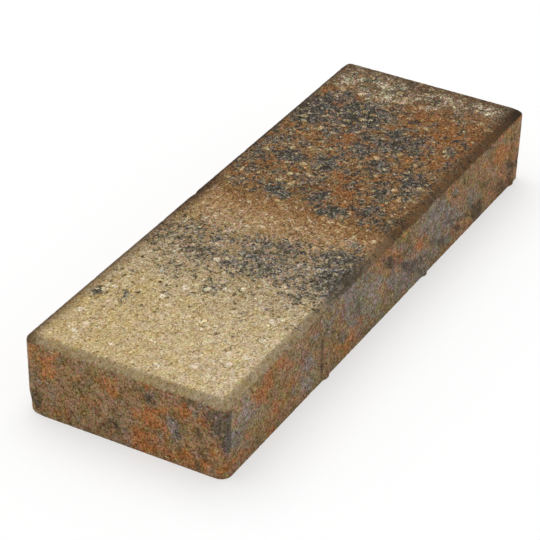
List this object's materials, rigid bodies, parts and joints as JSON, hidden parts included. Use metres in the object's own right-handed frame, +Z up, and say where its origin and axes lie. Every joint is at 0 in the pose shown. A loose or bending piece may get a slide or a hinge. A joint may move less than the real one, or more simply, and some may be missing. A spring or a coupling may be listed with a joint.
{
  "type": "concrete paver",
  "caption": "Plank-shaped concrete paver with a bevelled wearing face, rounded upright corners and low spacer lugs along its long sides.",
  "frame": {"origin": "centre of the paver's box, on its bed face", "axes": "+X along the paver's length, +Y across it, +Z up through the wearing face"},
  "size_m": [0.45, 0.155, 0.06],
  "materials": {
    "concrete": "sandy, unsealed cast concrete in blended tan, rust and charcoal"
  },
  "bodies": {
    "root": {"paver": "concrete"}
  },
  "joints": []
}
